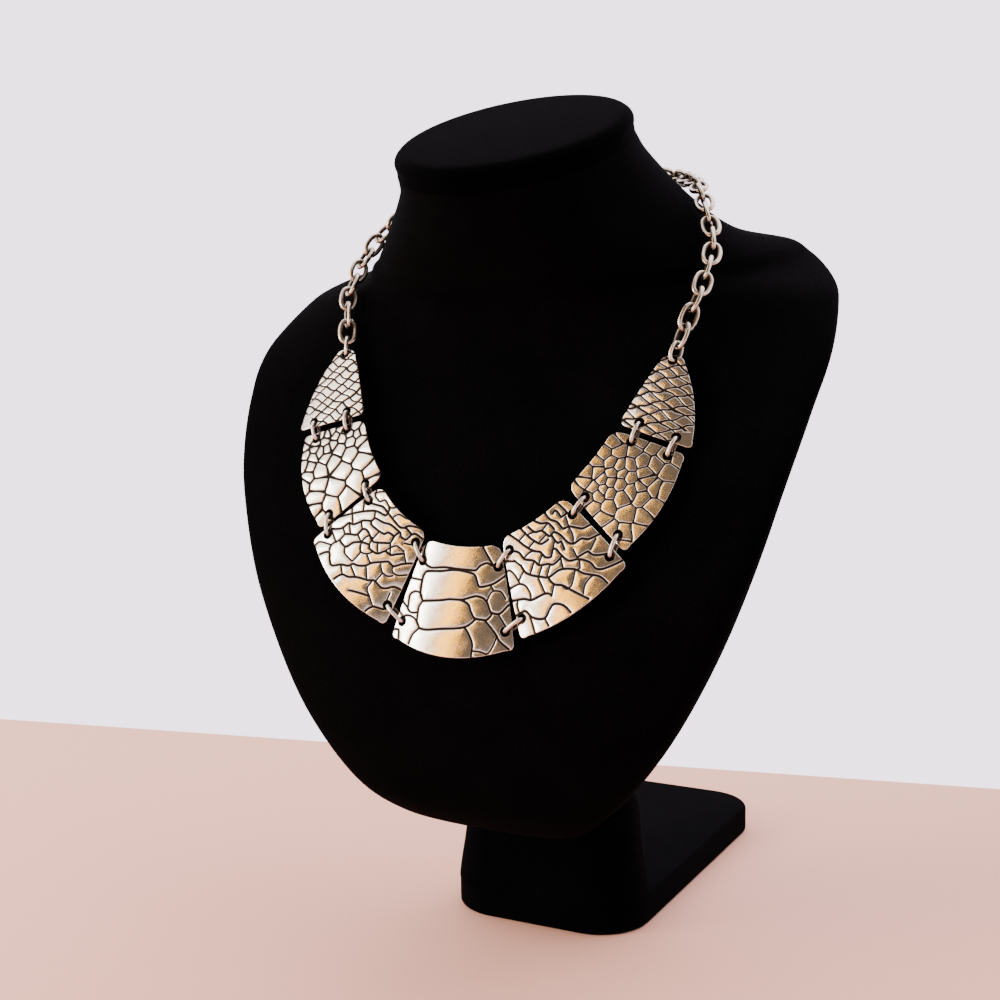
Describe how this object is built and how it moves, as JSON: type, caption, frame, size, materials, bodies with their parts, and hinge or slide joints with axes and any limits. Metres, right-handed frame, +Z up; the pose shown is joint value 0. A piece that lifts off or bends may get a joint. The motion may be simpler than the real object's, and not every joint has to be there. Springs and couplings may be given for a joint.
{
  "type": "plate choker necklace with a cable chain, on a velvet neck display bust with its base",
  "caption": "Bib choker of embossed silver plates joined by rings, on a cable chain, worn by a plain black velvet neck bust with a flat base.",
  "frame": {"origin": "centre of the underside of the base plate", "axes": "+Z up, the bust faces -Y, +X to the viewer's right"},
  "size_m": [0.18, 0.1706, 0.2498],
  "materials": {
    "velvet": "matte black velvet pile",
    "velvet_cap": "matte black velvet pile over padding",
    "velvet_base": "cast stone resin covered with matte black velvet",
    "plate_silver": "antique silver plate, satin, blackened in the pattern",
    "ring_silver": "antique silver plate, satin",
    "chain_silver": "antique silver plate, satin"
  },
  "bodies": {
    "root": {"base_plate": "velvet_base", "base_post": "velvet_base", "bust_body": "velvet", "neck_cap": "velvet_cap", "plate_centre": "plate_silver", "plate_inner_right": "plate_silver", "plate_inner_left": "plate_silver", "plate_outer_right": "plate_silver", "plate_outer_left": "plate_silver", "plate_end_right": "plate_silver", "plate_end_left": "plate_silver", "ring_centre_low_right": "ring_silver", "ring_centre_low_left": "ring_silver", "ring_centre_high_right": "ring_silver", "ring_centre_high_left": "ring_silver", "ring_inner_low_right": "ring_silver", "ring_inner_low_left": "ring_silver", "ring_inner_high_right": "ring_silver", "ring_inner_high_left": "ring_silver", "ring_outer_low_right": "ring_silver", "ring_outer_low_left": "ring_silver", "ring_outer_high_right": "ring_silver", "ring_outer_high_left": "ring_silver", "ring_chain_right": "ring_silver", "ring_chain_left": "ring_silver", "link_01_right": "chain_silver", "link_01_left": "chain_silver", "link_02_right": "chain_silver", "link_02_left": "chain_silver", "link_03_right": "chain_silver", "link_03_left": "chain_silver", "link_04_right": "chain_silver", "link_04_left": "chain_silver", "link_05_right": "chain_silver", "link_05_left": "chain_silver", "link_06_right": "chain_silver", "link_06_left": "chain_silver", "link_07_right": "chain_silver", "link_07_left": "chain_silver", "link_08_right": "chain_silver", "link_08_left": "chain_silver", "link_09_right": "chain_silver", "link_09_left": "chain_silver", "link_10_right": "chain_silver", "link_10_left": "chain_silver", "link_11_right": "chain_silver", "link_11_left": "chain_silver", "link_12_right": "chain_silver", "link_12_left": "chain_silver", "link_13_right": "chain_silver", "link_13_left": "chain_silver", "chain_back_1_right": "chain_silver", "chain_back_1_left": "chain_silver", "chain_back_2_right": "chain_silver", "chain_back_2_left": "chain_silver", "clasp": "chain_silver"}
  },
  "joints": []
}
